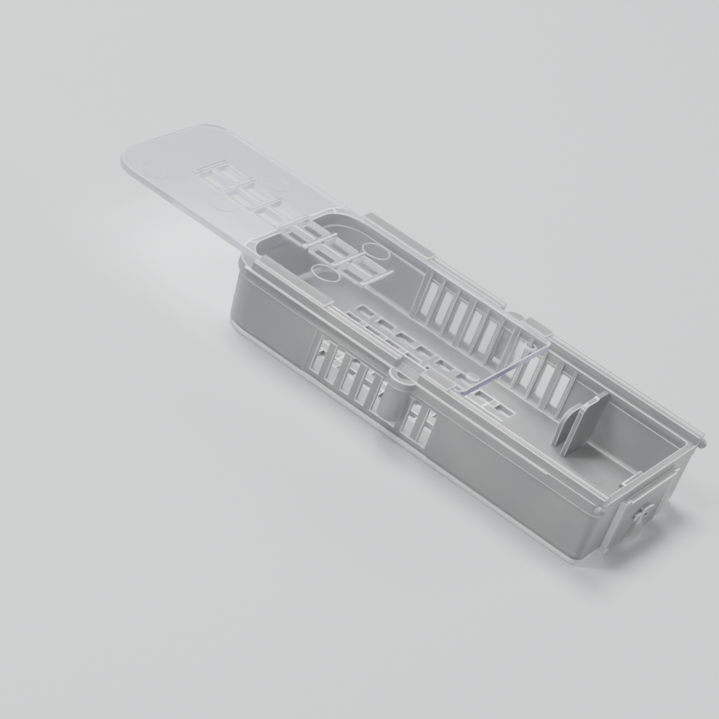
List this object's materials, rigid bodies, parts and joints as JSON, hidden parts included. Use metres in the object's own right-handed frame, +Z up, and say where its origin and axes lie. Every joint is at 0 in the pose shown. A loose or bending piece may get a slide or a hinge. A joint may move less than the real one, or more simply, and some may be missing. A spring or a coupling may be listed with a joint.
{
  "type": "queen cage",
  "caption": "Small plastic queen bee cage: slotted open tray with a clear sliding lid, a candy baffle and a release shutter in the square end.",
  "frame": {"origin": "middle of the flat underside of the tray", "axes": "+X towards the square end with the release shutter, -X the way the lid opens, +Z up out of the tray"},
  "size_m": [0.1111, 0.0414, 0.0148],
  "materials": {
    "frosted_tray": "milky translucent polypropylene, satin",
    "clear_lid": "clear polystyrene, polished",
    "frosted_shutter": "milky translucent polypropylene, satin"
  },
  "bodies": {
    "tray": {"floor_grid": "frosted_tray", "near_wall": "frosted_tray", "far_wall": "frosted_tray", "round_end_wall": "frosted_tray", "door_end_wall": "frosted_tray", "near_comb": "frosted_tray", "far_comb": "frosted_tray", "candy_baffle": "frosted_tray", "baffle_tongue": "frosted_tray", "exit_sill": "frosted_tray", "near_rail": "frosted_tray", "far_rail": "frosted_tray", "link_socket": "frosted_tray", "link_peg": "frosted_tray", "corner_nubs": "frosted_tray", "shutter_guides": "frosted_tray"},
    "lid": {"lid_plate": "clear_lid", "lid_ladder": "clear_lid", "lid_grip_nubs": "clear_lid"},
    "shutter": {"shutter_plate": "frosted_shutter", "shutter_catch": "frosted_shutter", "shutter_thumb_ledge": "frosted_shutter"}
  },
  "joints": [
    {"name": "lid_slide", "type": "slide", "parent": "tray", "child": "lid", "axis": [1, 0, 0], "range_m": [-0.039, 0.0304]},
    {"name": "shutter_slide", "type": "slide", "parent": "tray", "child": "shutter", "axis": [0, 0, 1], "range_m": [0, 0.0075]}
  ]
}
